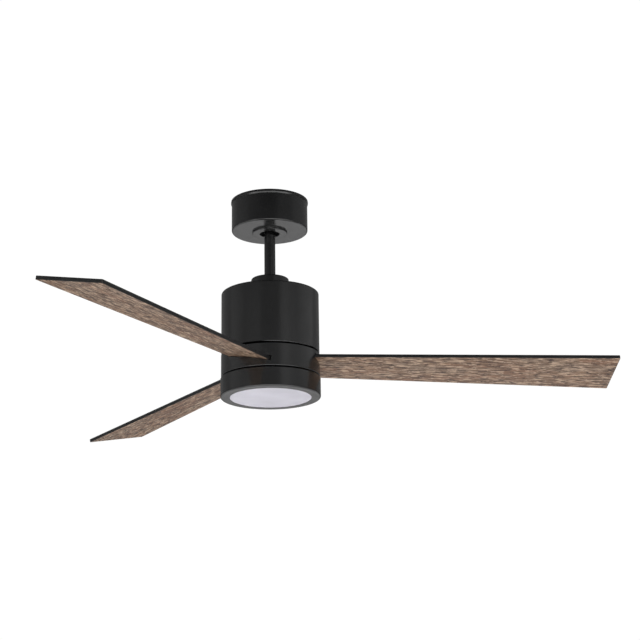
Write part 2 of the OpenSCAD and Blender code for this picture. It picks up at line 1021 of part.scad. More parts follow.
// The blade's outline, with small rounded corners at the tip
function blade_outline() =
    let (tip = blade_tip_w / 2, root = blade_root_w / 2, r = blade_corner_r, steps = 6)
    concat(
        [[blade_root_r, root], [blade_root_r, -root]],
        [for (i = [0:steps])
            [blade_tip_r - r, -tip + r] + r * [sin(90 * i / steps), -cos(90 * i / steps)]],
        [for (i = [0:steps])
            [blade_tip_r - r, tip - r] + r * [cos(90 * i / steps), sin(90 * i / steps)]]
    );

module blade_screw_places(angle) {
    on_blade(angle)
        for (place = blade_screws_at)
            translate([place.x, place.y, blade_t / 2])
                children();
}

module blade(angle) {
    color(WOOD)
        difference() {
            on_blade(angle)
                translate([0, 0, -blade_t / 2])
                    linear_extrude(blade_t) polygon(blade_outline());
            blade_screw_places(angle)
                translate([0, 0, -blade_t - cut])
                    cylinder(r = small_screw_r + 0.2, h = blade_t + 2 * cut);
        }
}

module blade_screws() {
    color(STEEL)
        for (angle = blade_angles)
            blade_screw_places(angle)
                translate([0, 0, -blade_t])
                    mirror([0, 0, 1])
                        screw(small_screw_r, blade_t + 3.5, 4.2, 2.4);
}

module iron_bolts() {
    color(STEEL)
        iron_bolt_places()
            translate([0, 0, hub_z]) screw(screw_r, 7.5, 4.2, screw_head_h);
}

// ---------- light ----------

module light_screw_places() {
    around(3, light_screw_circle, 90) children();
}

module light_plate() {
    color(ZINC)
        difference() {
            ring(shaft_r, plate_r, deck_z, light_z);
            light_screw_places()
                translate([0, 0, deck_z - cut])
                    cylinder(r = small_screw_r + slip, h = plate_t + 2 * cut);
        }
}

// Two nuts clamp the plate to the threaded shaft
module shaft_nuts() {
    color(STEEL)
        for (z = [light_z, deck_z - nut_h])
            translate([0, 0, z])
                difference() {
                    cylinder(r = 15, h = nut_h, $fn = 6);
                    translate([0, 0, -cut]) cylinder(r = shaft_r, h = nut_h + 2 * cut);
                }
}

module light_profile() {
    lip_in = lens_r + 0.3;
    difference() {
        band(deck_hole_r, light_r, light_bottom, light_z);
        band(0, light_r - shell, deck_z, light_z + cut);
        difference() {
            band(0, light_r - shell, light_bottom + lip_t, deck_z - shell);
            round_off([light_r - shell, light_bottom + lip_t], 1.5, [1, -1]);
        }
        band(0, lip_in, light_bottom - cut, deck_z - shell);
        round_off([light_r, light_bottom], 3, [1, -1]);
        round_off([light_r, light_z], 0.8, [1, 1]);
    }
}

module light_housing() {
    color(PAINT)
        difference() {
            rotate_extrude() light_profile();
            light_screw_places()
                translate([0, 0, deck_z - shell - cut])
                    cylinder(r = small_screw_r + 0.3, h = shell + 2 * cut);
        }
}

module light_screws() {
    color(STEEL)
        light_screw_places()
            translate([0, 0, deck_z - shell])
                mirror([0, 0, 1])
                    screw(small_screw_r, plate_t + shell, 4, 2.2);
}

// Spun aluminium pan: its rim meets the deck and its flat face carries the LED board
module heat_sink() {
    color("#c8cacc")
        rotate_extrude()
            difference() {
                band(0, sink_r, sink_z, deck_z - shell);
                band(-cut, sink_r - sink_t, sink_z + sink_t, deck_z - shell + cut);
                round_off([sink_r, sink_z], 1.2, [1, -1]);
            }
}

module led_driver() {
    color("#d9d9dc")
        translate([driver_x, -driver_w / 2, sink_z + sink_t])
            cube([driver_l, driver_w, driver_h]);
}

module lamp_leads() {
    color("#d8d8d8")
        for (side = [-1, 1]) {
            from = [0, side * 2.5, shaft_bottom + 14];
            to = [driver_x - 0.1, side * 5, sink_z + 6];
            route = curve([from, from - [0, 0, 24], to - [12, 0, 2], to], 12);
            wire(route, lead_r, [0, 1, 0.1]);
        }
}

module board_screw_places() {
    around(3, board_screw_circle, 30) children();
}

module led_board() {
    color("#eceef0")
        difference() {
            ring(4, board_r, sink_z - board_t, sink_z);
            board_screw_places()
                translate([0, 0, sink_z - board_t - cut]) cylinder(r = 1.7, h = board_t + 2 * cut);
        }
}

// Three rings of LED chips under the board
module led_chips() {
    chip = [3.5, 2.8, 0.7];
    color("#f2d98a")
        for (row = [1:3])
            around(8 * row, 18 * row)
                translate([-chip.x / 2, -chip.y / 2, sink_z - board_t - chip.z])
                    cube(chip);
}

module board_screws() {
    color(STEEL)
        board_screw_places()
            translate([0, 0, sink_z - board_t])
                mirror([0, 0, 1])
                    screw(1.5, board_t - 0.1, 3, 1.6);
}

// Opal disc with a flange that rests on the light housing's lip
module lens() {
    face_z = light_bottom + 0.2;
    lip_z = light_bottom + lip_t;
    top_z = lip_z + 2;
    color(OPAL)
        rotate_extrude()
            difference() {
                union() {
                    band(0, lens_r, face_z, top_z);
                    band(0, lens_r + 3, lip_z, top_z);
                }
                round_off([lens_r, face_z], 0.6, [1, -1]);
            }
}

module lens_clips() {
    lip_z = light_bottom + lip_t;
    color(ZINC)
        around(3, lens_r, 45)
            translate([0, -5, lip_z]) {
                translate([4, 0, 0]) cube([6, 10, 3.2]);
                translate([0, 0, 2]) cube([5, 10, 1.2]);
            }
}

hanger_bracket();
canopy_lugs();
ball_cradle();
canopy();
canopy_trim_ring();
canopy_screws();
ground_screw();
receiver_case();
receiver_lid();
receiver_leads();
wire_connectors();
ball_liner();
hanger_ball();
ball_cross_pin();
ball_set_screw();
downrod();
motor_leads();
harness_plug();
coupling_cover();
cover_grommet();
motor_yoke();
yoke_pin();
pin_clip();
yoke_set_screws();
motor_housing();
housing_screws();
motor_shaft();
stator_core();
stator_coils();
motor_board();
motor_capacitors();
upper_bell();
lower_bell();
rotor_magnets();
bell_bolts();
bearing_inner_races();
bearing_outer_races();
bearing_balls();
blade_hub();
hub_screws();
blade_iron(blade_angles[0]);  // blade_iron_a
blade_iron(blade_angles[1]);  // blade_iron_b
blade_iron(blade_angles[2]);  // blade_iron_c
iron_bolts();
blade(blade_angles[0]);  // blade_a
blade(blade_angles[1]);  // blade_b
blade(blade_angles[2]);  // blade_c
blade_screws();
light_plate();
shaft_nuts();
light_housing();
light_screws();
heat_sink();
led_driver();
lamp_leads();
led_board();
led_chips();
board_screws();
lens();
lens_clips();
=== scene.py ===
import math

import bmesh
import bpy
from mathutils import Matrix, Vector


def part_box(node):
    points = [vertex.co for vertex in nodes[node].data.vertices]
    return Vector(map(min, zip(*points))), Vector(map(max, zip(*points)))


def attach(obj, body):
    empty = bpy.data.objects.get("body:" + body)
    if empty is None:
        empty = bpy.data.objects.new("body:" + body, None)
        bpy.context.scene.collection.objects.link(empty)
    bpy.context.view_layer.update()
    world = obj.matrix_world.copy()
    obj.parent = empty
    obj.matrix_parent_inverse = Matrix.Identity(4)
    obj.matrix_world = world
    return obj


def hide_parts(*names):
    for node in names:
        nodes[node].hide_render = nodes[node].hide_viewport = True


# Looks for the three-blade ceiling fan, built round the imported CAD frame. Metres, +Z up, blade A along +X.
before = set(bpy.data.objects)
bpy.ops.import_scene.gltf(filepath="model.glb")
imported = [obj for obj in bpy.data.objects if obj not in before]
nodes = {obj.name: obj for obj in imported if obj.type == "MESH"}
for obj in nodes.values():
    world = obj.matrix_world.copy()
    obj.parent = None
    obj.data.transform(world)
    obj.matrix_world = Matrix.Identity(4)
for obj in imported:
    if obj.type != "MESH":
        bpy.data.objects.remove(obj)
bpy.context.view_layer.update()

MM = 0.001
FULL_TURN = 2 * math.pi

# Shapes that the CAD model settles and that its boxes don't show
SHEET = 1.2 * MM                    # wall of the canopy and the coupling cover
SHELL = 2 * MM                      # wall of the motor housing, hub and light housing
CANOPY_CUP = 61.9 * MM              # height of the cup without its disc
CANOPY_DISC_R = 33.7 * MM
CANOPY_HOLE_R = 19.3 * MM
CANOPY_SCREW_Z = -4 * MM
CANOPY_SCREW_HOLE_R = 1.8 * MM
TRIM_TOP_STEP = 0.3 * MM            # the trim ring narrows by this much towards its top
TRIM_BEAD_TOP = 2.2 * MM            # below the ring's top
TRIM_BEAD_FOOT = 2.7 * MM           # above the ring's foot
TRIM_TAPER = 1.2 * MM
ROD_WALL = 2 * MM
PIN_HOLE_R = 3.05 * MM
BALL_PIN_Z = -27 * MM
COVER_HOLE_R = 13 * MM
GROMMET_HEAD = 1.5 * MM
HOUSING_HOLE_R = 16 * MM
HOUSING_SCREWS = (3, 25 * MM, 60)   # count, circle radius, first angle
DRUM_SCREW_HOLE_R = 2.6 * MM        # in the motor housing and the hub
HUB_TOP = 3 * MM
HUB_HOLE_R = 14 * MM
HUB_SCREWS = (6, 36 * MM, 30)
IRON_BOLT = (62 * MM, 18 * MM)      # along the blade, to each side
LIGHT_DECK = 4 * MM                 # from the light housing's rim down to its deck's underside
LIGHT_HOLE_R = 20 * MM
LIGHT_SCREWS = (3, 50 * MM, 90)
LIGHT_SCREW_HOLE_R = 2.3 * MM
LIGHT_LIP = 2 * MM
LENS_R = 77 * MM
LENS_GAP = 0.3 * MM
LENS_FLANGE = 2 * MM
SLIP = 0.05 * MM                    # between a piece and the one that it is pushed over

# Roundings of the turned pieces' corners
EDGE = 0.3 * MM
FINE_EDGE = 0.2 * MM
CANOPY_FOOT_ROUND = 3 * MM
CANOPY_DISC_ROUND = 2 * MM
COVER_ROUND = 2 * MM
HOUSING_TOP_ROUND = 2.5 * MM
DRUM_FOOT_ROUND = 1.6 * MM
GAP_EDGE_ROUND = 0.8 * MM
LIGHT_FOOT_ROUND = 3 * MM

BLADE_ANGLES = {"a": 0, "b": -120, "c": 120}
BLADE_PITCH = 11.7
BLADE_DROOP = 1.24
BLADE_Z = -328.9 * MM
BLADE_T = 6.6 * MM
BLADE_ROOT = (48 * MM, 84.4 * MM)   # distance from the axis, width
BLADE_TIP = (656.81 * MM, 129.8 * MM)
BLADE_CORNER_R = 2 * MM
BLADE_EDGE_ROUND = 0.45 * MM
BLADE_SCREWS = ((58 * MM, -16 * MM), (58 * MM, 16 * MM), (80 * MM, 0))
BLADE_SCREW_HOLE_R = 2.2 * MM
BLADE_SLOT_HALF = BLADE_ROOT[1] / 2 + 4.5 * MM
BLADE_SLOT_H = BLADE_T + 2.4 * MM
BLADE_SLOT_CUT = (25 * MM, 15 * MM)  # how far the slot's cutter reaches inside and outside the hub's wall

LATHE_SEGMENTS = 160
ROD_SEGMENTS = 40
HOLD = 0.3 * MM                     # the extra points of a long straight run lie this far from its ends
SMOOTH_BELOW = 30                   # degrees

MIX_INPUTS = (0, 6, 7)              # the Mix node's sockets for colours: amount, first, second
MIX_OUTPUT = 2
MAINS_LEADS = ((0.60, 0.60, 0.58), (0.02, 0.02, 0.022), (0.03, 0.08, 0.35))  # white, black, blue
LAMP_LEADS = ((0.02, 0.02, 0.022), (0.55, 0.03, 0.02))                       # black, red

CAMERA_TURN = (3.20, 16.57, -0.85)  # yaw, pitch and roll in degrees
CAMERA_PLACE = (-0.07595, -3.06366, -1.1526)
CAMERA_LENS = 94.02
FLOOR_Z = -2.4
FLOOR_REACH = 60


# ---------- materials ----------

def add(tree, kind, inputs=None, **settings):
    """Adds a shader node. An input is a number, a colour or another node's socket."""
    made = tree.nodes.new("ShaderNode" + kind)
    for key, value in settings.items():
        setattr(made, key, value)
    for key, value in (inputs or {}).items():
        if isinstance(value, bpy.types.NodeSocket):
            tree.links.new(value, made.inputs[key])
        else:
            made.inputs[key].default_value = value
    return made


def blank(name):
    """A material, its node tree and its shader."""
    material = bpy.data.materials.new(name)
    material.use_nodes = True
    tree = material.node_tree
    return material, tree, tree.nodes["Principled BSDF"]


def rgba(colour):
    """The colour with full opacity."""
    return (*colour, 1.0)


def times(factor, colour):
    """The colour made lighter or darker, up to white."""
    return tuple(min(1.0, factor * part) for part in colour)


def place(tree, scale=(1, 1, 1), shift=(0, 0, 0), source=None):
    """The piece's own coordinates in metres, scaled and shifted."""
    start = source or add(tree, "TexCoord").outputs["Object"]
    return add(tree, "Mapping", {"Vector": start, "Scale": scale, "Location": shift}).outputs[0]


def noise(tree, vector, scale=1.0, detail=3.0, rough=0.5, output="Fac"):
    """Fractal noise at a point given by a vector socket."""
    made = add(tree, "TexNoise", {"Vector": vector, "Scale": scale, "Detail": detail, "Roughness": rough})
    return made.outputs[output]


def ramp(tree, value, *stops):
    """Colour for a value, from (position, colour) stops."""
    made = add(tree, "ValToRGB", {"Fac": value})
    elements = made.color_ramp.elements
    while len(elements) < len(stops):
        elements.new(0.5)
    for element, (position, colour) in zip(elements, stops):
        element.position = position
        element.color = rgba(colour)
    return made.outputs["Color"]


def spread(tree, value, low, high, start=0.3, end=0.7):
    """Maps a value from start..end to low..high."""
    made = add(tree, "MapRange", {"Value": value, "From Min": start, "From Max": end,
                                  "To Min": low, "To Max": high})
    return made.outputs[0]


def blend_colours(tree, amount, first, second):
    """Goes from the first colour to the second as amount goes from 0 to 1."""
    made = tree.nodes.new("ShaderNodeMix")
    made.data_type = "RGBA"
    for index, value in zip(MIX_INPUTS, (amount, first, second)):
        if isinstance(value, bpy.types.NodeSocket):
            tree.links.new(value, made.inputs[index])
        else:
            made.inputs[index].default_value = rgba(value)
    return made.outputs[MIX_OUTPUT]


def bump(tree, shader, height, distance, strength=1.0):
    """Relief of a height socket from 0 to 1, distance metres deep."""
    made = add(tree, "Bump", {"Height": height, "Distance": distance, "Strength": strength})
    tree.links.new(made.outputs["Normal"], shader.inputs["Normal"])


def connect(tree, shader, **sockets):
    """Links sockets to the shader's inputs, such as base_color to Base Color."""
    for name, socket in sockets.items():
        tree.links.new(socket, shader.inputs[name.replace("_", " ").title()])


def worn_edges(tree, amount):
    """1 along edges where the finish is rubbed, broken up by noise."""
    edge = spread(tree, add(tree, "NewGeometry").outputs["Pointiness"], 0, 1, 0.52, 0.60)
    patches = spread(tree, noise(tree, place(tree), 90, 4), 0, amount, 0.45, 0.70)
    return add(tree, "Math", {0: edge, 1: patches}, operation="MULTIPLY").outputs[0]


def satin_paint(name, tone, rough=0.24):
    """Powder coat: fine orange peel, slow drift in tone and gloss, and faintly rubbed edges."""
    material, tree, shader = blank(name)
    drift = noise(tree, place(tree), 14, 3)
    speck = noise(tree, place(tree), 1500, 2)
    colour = ramp(tree, drift, (0.3, times(0.82, tone)), (0.7, times(1.25, tone)))
    colour = blend_colours(tree, spread(tree, speck, 0, 0.35, 0.55, 0.8), colour, times(2.2, tone))
    colour = blend_colours(tree, worn_edges(tree, 0.5), colour, (0.10, 0.10, 0.10))
    shader.inputs["Specular IOR Level"].default_value = 0.9
    connect(tree, shader, base_color=colour,
            roughness=spread(tree, noise(tree, place(tree), 45, 5), rough - 0.02, rough + 0.03))
    bump(tree, shader, noise(tree, place(tree), 900, 2), 0.012 * MM, 0.3)
    return material


def metal(name, dark, light, rough, grain=(1, 1, 1), grain_scale=400, relief=0.02):
    """Bare or plated metal: two tones in patches, brushed or cast grain in gloss and relief."""
    material, tree, shader = blank(name)
    patches = noise(tree, place(tree), 60, 5, 0.6)
    lines = noise(tree, place(tree, grain), grain_scale, 4, 0.6)
    colour = ramp(tree, patches, (0.32, dark), (0.68, light))
    colour = blend_colours(tree, spread(tree, lines, 0, 0.35), colour, times(0.6, dark))
    shader.inputs["Metallic"].default_value = 1.0
    connect(tree, shader, base_color=colour, roughness=spread(tree, lines, rough - 0.08, rough + 0.12))
    bump(tree, shader, lines, relief * MM, 0.5)
    return material


def plastic(name, tone, rough=0.45):
    """Moulded plastic: spark-eroded texture, slight flow marks in tone and gloss."""
    material, tree, shader = blank(name)
    flow = noise(tree, place(tree, (1, 1, 3)), 35, 4)
    texture = noise(tree, place(tree), 900, 3, 0.7)
    colour = ramp(tree, flow, (0.3, times(0.86, tone)), (0.7, times(1.08, tone)))
    connect(tree, shader, base_color=colour, roughness=spread(tree, texture, rough - 0.06, rough + 0.1))
    bump(tree, shader, texture, 0.03 * MM, 0.4)
    return material


def rubber_look(name):
    """Dull black rubber, greyed by dust."""
    material, tree, shader = blank(name)
    dust = noise(tree, place(tree), 220, 5, 0.7)
    colour = ramp(tree, dust, (0.4, (0.008, 0.008, 0.008)), (0.75, (0.03, 0.029, 0.028)))
    connect(tree, shader, base_color=colour, roughness=spread(tree, dust, 0.6, 0.85))
    bump(tree, shader, dust, 0.03 * MM)
    return material


def leads_look(name, axis, edges, colours):
    """Insulated leads side by side: each takes its colour from where it lies along an axis."""
    material, tree, shader = blank(name)
    where = add(tree, "SeparateXYZ", {"Vector": add(tree, "TexCoord").outputs["Object"]}).outputs[axis]
    colour = colours[0]
    for edge, next_colour in zip(edges, colours[1:]):
        past = add(tree, "Math", {0: where, 1: edge}, operation="GREATER_THAN").outputs[0]
        colour = blend_colours(tree, past, colour, next_colour)
    grime = noise(tree, place(tree), 300, 4)
    colour = blend_colours(tree, spread(tree, grime, 0, 0.25), colour, (0.05, 0.045, 0.04))
    connect(tree, shader, base_color=colour, roughness=spread(tree, grime, 0.32, 0.5))
    bump(tree, shader, grime, 0.02 * MM)
    return material


def winding_look(name):
    """Enamelled copper wire: bands round the teeth, one wire wide."""
    material, tree, shader = blank(name)
    turns = add(tree, "TexWave", {"Vector": place(tree), "Scale": 350, "Distortion": 1.2, "Detail": 1},
                bands_direction="Z").outputs["Fac"]
    tone = noise(tree, place(tree), 120, 3)
    colour = ramp(tree, tone, (0.3, (0.42, 0.15, 0.06)), (0.7, (0.62, 0.27, 0.11)))
    colour = blend_colours(tree, spread(tree, turns, 0.7, 0, 0, 0.4), colour, (0.06, 0.02, 0.01))
    shader.inputs["Metallic"].default_value = 0.85
    connect(tree, shader, base_color=colour, roughness=spread(tree, tone, 0.25, 0.4))
    bump(tree, shader, turns, 0.3 * MM)
    return material


def board_look(name, mask, track):
    """Circuit board: solder mask over copper tracks that run in straight lengths."""
    material, tree, shader = blank(name)
    cells = add(tree, "TexBrick", {"Vector": place(tree), "Scale": 90, "Mortar Size": 0.06,
                                   "Color1": rgba(mask), "Color2": rgba(times(0.8, mask)),
                                   "Mortar": rgba(track)})
    weave = noise(tree, place(tree), 800, 2)
    connect(tree, shader, base_color=cells.outputs["Color"], roughness=spread(tree, weave, 0.25, 0.4))
    bump(tree, shader, cells.outputs["Fac"], 0.05 * MM, 0.5)
    return material


def opal_look(name, tone):
    """Opal diffuser: nearly even, with the slight mottle and fine pebble of moulded acrylic."""
    material, tree, shader = blank(name)
    mottle = noise(tree, place(tree), 9, 3)
    pebble = noise(tree, place(tree), 1400, 2)
    colour = ramp(tree, mottle, (0.38, times(0.92, tone)), (0.62, times(1.08, tone)))
    shader.inputs["Subsurface Weight"].default_value = 0.15
    shader.inputs["Subsurface Radius"].default_value = (4 * MM, 4 * MM, 4.5 * MM)
    shader.inputs["Subsurface Scale"].default_value = 1.0
    connect(tree, shader, base_color=colour, roughness=spread(tree, pebble, 0.32, 0.44))
    bump(tree, shader, pebble, 0.02 * MM, 0.3)
    return material


def weathered_wood(name, shift):
    """Weathered oak grain along the blade: swaying fibres, dark pores and pale streaks.

    The noises' scales are in cycles per metre along, across and through the board.
    """
    material, tree, shader = blank(name)
    start = place(tree, shift=shift)
    sway = noise(tree, place(tree, (7, 16, 1), source=start), 1, 3, 0.55, output="Color")
    board = add(tree, "VectorMath", {0: sway, 1: (0, 6 * MM, 0), 2: start},
                operation="MULTIPLY_ADD").outputs[0]
    tone = noise(tree, place(tree, (5, 26, 1), source=start), 1, 3, 0.55)
    growth = noise(tree, place(tree, (13, 115, 1), source=board), 1, 4, 0.72)
    streaks = noise(tree, place(tree, (38, 190, 1), (9, 2, 0), source=board), 1, 3, 0.7)
    fibres = noise(tree, place(tree, (60, 560, 1), source=board), 1, 4, 0.7)
    pores = noise(tree, place(tree, (50, 210, 1), (3, 5, 0), source=board), 1, 3, 0.65)

    colour = ramp(tree, tone, (0.40, (0.212, 0.108, 0.064)), (0.50, (0.241, 0.146, 0.090)),
                  (0.60, (0.232, 0.164, 0.116)))
    colour = blend_colours(tree, spread(tree, fibres, 0, 0.5, 0.42, 0.62), colour, (0.149, 0.086, 0.053))
    colour = blend_colours(tree, spread(tree, growth, 0, 0.9, 0.46, 0.57), colour, (0.090, 0.048, 0.029))
    colour = blend_colours(tree, spread(tree, streaks, 0, 0.95, 0.51, 0.59), colour, (0.440, 0.315, 0.222))
    colour = blend_colours(tree, spread(tree, pores, 0, 0.95, 0.54, 0.59), colour, (0.043, 0.022, 0.014))
    shader.inputs["Specular IOR Level"].default_value = 0.32
    connect(tree, shader, base_color=colour, roughness=spread(tree, fibres, 0.48, 0.62))
    bump(tree, shader, fibres, 0.12 * MM, 0.5)
    return material


def rubbed_rim(tree, amount):
    """1 along the eased long edges of a blade, broken up by noise."""
    at = add(tree, "SeparateXYZ", {"Vector": add(tree, "TexCoord").outputs["Object"]}).outputs
    half_width = spread(tree, at["X"], BLADE_ROOT[1] / 2, BLADE_TIP[1] / 2, BLADE_ROOT[0], BLADE_TIP[0])
    across = add(tree, "Math", {0: at["Y"]}, operation="ABSOLUTE").outputs[0]
    inset = add(tree, "Math", {0: half_width, 1: across}, operation="SUBTRACT").outputs[0]
    outer = spread(tree, inset, 0, 1, 0.05 * MM, 0.2 * MM)
    inner = spread(tree, inset, amount, 0, 0.3 * MM, 0.9 * MM)
    band = add(tree, "Math", {0: outer, 1: inner}, operation="MULTIPLY").outputs[0]
    patches = spread(tree, noise(tree, place(tree), 90, 4), 0, 1, 0.45, 0.70)
    return add(tree, "Math", {0: band, 1: patches}, operation="MULTIPLY").outputs[0]


def blade_paint(name):
    """Matt black coat on the blade's top and edges, with the grain just telegraphing through."""
    material, tree, shader = blank(name)
    fibres = noise(tree, place(tree, (20, 420, 420)), 1, 4, 0.6)
    drift = noise(tree, place(tree), 18, 3)
    colour = ramp(tree, drift, (0.3, (0.007, 0.0072, 0.0075)), (0.7, (0.013, 0.0132, 0.0135)))
    colour = blend_colours(tree, spread(tree, fibres, 0, 0.5, 0.5, 0.7), colour, (0.024, 0.023, 0.022))
    colour = blend_colours(tree, rubbed_rim(tree, 0.7), colour, (0.12, 0.10, 0.085))
    connect(tree, shader, base_color=colour, roughness=spread(tree, fibres, 0.42, 0.56))
    bump(tree, shader, fibres, 0.05 * MM, 0.4)
    return material


# ---------- shapes ----------

def rounded(corners, step=8):
    """Closed outline of (radius, height) points whose corners (radius, height, rounding) become arcs."""
    points = []
    for index, (x, y, rounding) in enumerate(corners):
        here = Vector((x, y))
        if not rounding:
            points.append(here)
            continue
        before = (Vector(corners[index - 1][:2]) - here).normalized()
        after = (Vector(corners[(index + 1) % len(corners)][:2]) - here).normalized()
        half = before.angle(after) / 2
        centre = here + (before + after).normalized() * rounding / math.sin(half)
        first = (here + before * rounding / math.tan(half) - centre).normalized()
        last = (here + after * rounding / math.tan(half) - centre).normalized()
        for i in range(step + 1):
            points.append(centre + first.slerp(last, i / step) * rounding)
    return points


def with_holds(points):
    """Adds a point near each end of a long straight run, which keeps smooth shading off it."""
    held = []
    for index, here in enumerate(points):
        along = points[(index + 1) % len(points)] - here
        held.append(here)
        if along.length > 8 * HOLD:
            held.append(here + along.normalized() * HOLD)
            held.append(here + along - along.normalized() * HOLD)
    return held


def lathe(corners):
    """Mesh that an outline round the Z axis sweeps."""
    mesh = bmesh.new()
    turns = [FULL_TURN * k / LATHE_SEGMENTS for k in range(LATHE_SEGMENTS)]
    rings = []
    for radius, height in with_holds(rounded(corners)):
        if radius < 1e-7:
            rings.append([mesh.verts.new((0, 0, height))] * LATHE_SEGMENTS)
            continue
        rings.append([mesh.verts.new((radius * math.cos(t), radius * math.sin(t), height)) for t in turns])
    for index, ring in enumerate(rings):
        last = rings[index - 1]
        for k in range(LATHE_SEGMENTS):
            after = (k + 1) % LATHE_SEGMENTS
            corners_of_face = dict.fromkeys((ring[k], ring[after], last[after], last[k]))
            if len(corners_of_face) > 2:
                mesh.faces.new(corners_of_face)
    bmesh.ops.recalc_face_normals(mesh, faces=mesh.faces)
    return mesh


def rod(radius, length, matrix):
    """Cylinder along its own Z axis, centred, put in place by a matrix."""
    mesh = bmesh.new()
    bmesh.ops.create_cone(mesh, cap_ends=True, segments=ROD_SEGMENTS, radius1=radius, radius2=radius,
                          depth=length, matrix=matrix)
    return mesh


def block(low, high, matrix):
    """Box between two corners, put in place by a matrix."""
    mesh = bmesh.new()
    size = Matrix.Diagonal((*(Vector(high) - Vector(low)), 1))
    middle = Matrix.Translation((Vector(high) + Vector(low)) / 2)
    bmesh.ops.create_cube(mesh, size=1, matrix=matrix @ middle @ size)
    return mesh


def as_object(name, mesh):
    """Turns a mesh under construction into an object in the scene."""
    data = bpy.data.meshes.new(name)
    mesh.to_mesh(data)
    mesh.free()
    made = bpy.data.objects.new(name, data)
    bpy.context.scene.collection.objects.link(made)
    return made


def cut(piece, cutters):
    """Takes the cutters' meshes out of a piece for good."""
    group = bpy.data.collections.new("cutters")
    tools = [as_object("cutter", mesh) for mesh in cutters]
    for tool in tools:
        group.objects.link(tool)
    modifier = piece.modifiers.new("cut", "BOOLEAN")
    modifier.operand_type = "COLLECTION"
    modifier.collection = group
    modifier.solver = "EXACT"
    settled = piece.evaluated_get(bpy.context.evaluated_depsgraph_get())
    result = bpy.data.meshes.new_from_object(settled)
    piece.modifiers.clear()
    piece.data = result
    for tool in tools:
        bpy.data.objects.remove(tool)
    bpy.data.collections.remove(group)


def smooth(piece):
    """Smooth shading, apart from edges sharper than SMOOTH_BELOW."""
    for face in piece.data.polygons:
        face.use_smooth = True
    piece.data.set_sharp_from_angle(angle=math.radians(SMOOTH_BELOW))


def upright(x, y, z=0.0):
    """Places a rod that stands upright."""
    return Matrix.Translation((x, y, z))


def sideways(z, turn=0, out=0.0):
    """Places a rod that lies along the direction at angle turn, out from the axis, at height z."""
    return (Matrix.Rotation(math.radians(turn), 4, "Z") @ Matrix.Translation((out, 0, z))
            @ Matrix.Rotation(math.pi / 2, 4, "Y"))


def on_circle(count, radius, first):
    """Points on a circle; the first one is at angle first, in degrees."""
    angles = [math.radians(first + 360 * k / count) for k in range(count)]
    return [(radius * math.cos(a), radius * math.sin(a)) for a in angles]


def finish_piece(piece, body, slot, *replaced):
    """Shades a piece, puts it on its body and hides the CAD nodes that it stands for; its finish, slot, is
    not used.
    """
    smooth(piece)
    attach(piece, body)
    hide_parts(*replaced)
    return piece


def turned(name, node, corners, material, body, slot, holes=()):
    """A lathe piece that stands for a CAD node, with its holes cut."""
    piece = as_object(name, lathe(corners))
    piece.data.materials.append(material)
    if holes:
        cut(piece, holes)
    return finish_piece(piece, body, slot, node)


def radius_and_levels(node):
    """Outer radius, lowest and highest level of a round CAD node."""
    low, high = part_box(node)
    return max(high.x, -low.x), low.z, high.z


# ---------- pieces ----------

def make_canopy(paint):
    radius, low, high = radius_and_levels("canopy")
    cup = high - CANOPY_CUP
    inner = radius - SHEET
    corners = [
        (radius, high, EDGE), (radius, cup, CANOPY_FOOT_ROUND),
        (CANOPY_DISC_R, cup, 0.6 * MM), (CANOPY_DISC_R, low, CANOPY_DISC_ROUND),
        (CANOPY_HOLE_R, low, EDGE), (CANOPY_HOLE_R, low + SHEET, EDGE),
        (CANOPY_DISC_R - SHEET, low + SHEET, 0.8 * MM), (CANOPY_DISC_R - SHEET, cup + SHEET, 0.6 * MM),
        (inner, cup + SHEET, 2 * MM), (inner, high, EDGE),
    ]
    holes = [rod(CANOPY_SCREW_HOLE_R, 8 * MM, sideways(CANOPY_SCREW_Z, turn, radius)) for turn in (0, 180)]
    return turned("canopy_cup", "canopy", corners, paint, "ceiling_mount", "black_paint", holes)


def make_trim_ring(paint):
    radius, low, high = radius_and_levels("canopy_trim_ring")
    inner = radius_and_levels("canopy")[0] + SLIP
    corners = [
        (radius - TRIM_TOP_STEP, high, FINE_EDGE), (radius, high - TRIM_BEAD_TOP, 0.6 * MM),
        (radius, low + TRIM_BEAD_FOOT, 0.9 * MM), (radius - TRIM_TAPER, low, 0.15 * MM),
        (inner, low, 0), (inner, high, 0),
    ]
    return turned("canopy_bead", "canopy_trim_ring", corners, paint, "ceiling_mount", "black_paint")


def make_downrod(paint):
    radius, low, high = radius_and_levels("downrod")
    inner = radius - ROD_WALL
    corners = [
        (radius, high, 0.4 * MM), (radius, low, 0.4 * MM),
        (inner, low, EDGE), (inner, high, EDGE),
    ]
    pin_low, pin_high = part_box("yoke_pin")
    levels = (BALL_PIN_Z, (pin_low.z + pin_high.z) / 2)
    holes = [rod(PIN_HOLE_R, 4 * radius, sideways(z)) for z in levels]
    return turned("downrod_tube", "downrod", corners, paint, "hanging", "black_paint", holes)


def make_cover(paint):
    radius, low, high = radius_and_levels("coupling_cover")
    inner = radius - SHEET
    corners = [
        (COVER_HOLE_R, high, 0), (radius, high, COVER_ROUND), (radius, low, 0.25 * MM),
        (inner, low, 0.25 * MM), (inner, high - SHEET, 0.8 * MM), (COVER_HOLE_R, high - SHEET, 0),
    ]
    return turned("coupling_cup", "coupling_cover", corners, paint, "hanging", "black_paint")


def make_grommet(rubber):
    radius, low, high = radius_and_levels("cover_grommet")
    bore = radius_and_levels("downrod")[0] + SLIP
    top = high - GROMMET_HEAD
    groove = top - SHEET
    corners = [
        (bore, low, EDGE), (bore, high, 0.4 * MM), (radius, high, 0.7 * MM), (radius, top, FINE_EDGE),
        (COVER_HOLE_R, top, 0), (COVER_HOLE_R, groove, 0),
        (radius, groove, FINE_EDGE), (radius, low, 0.5 * MM),
    ]
    return turned("rod_grommet", "cover_grommet", corners, rubber, "hanging", "rubber")


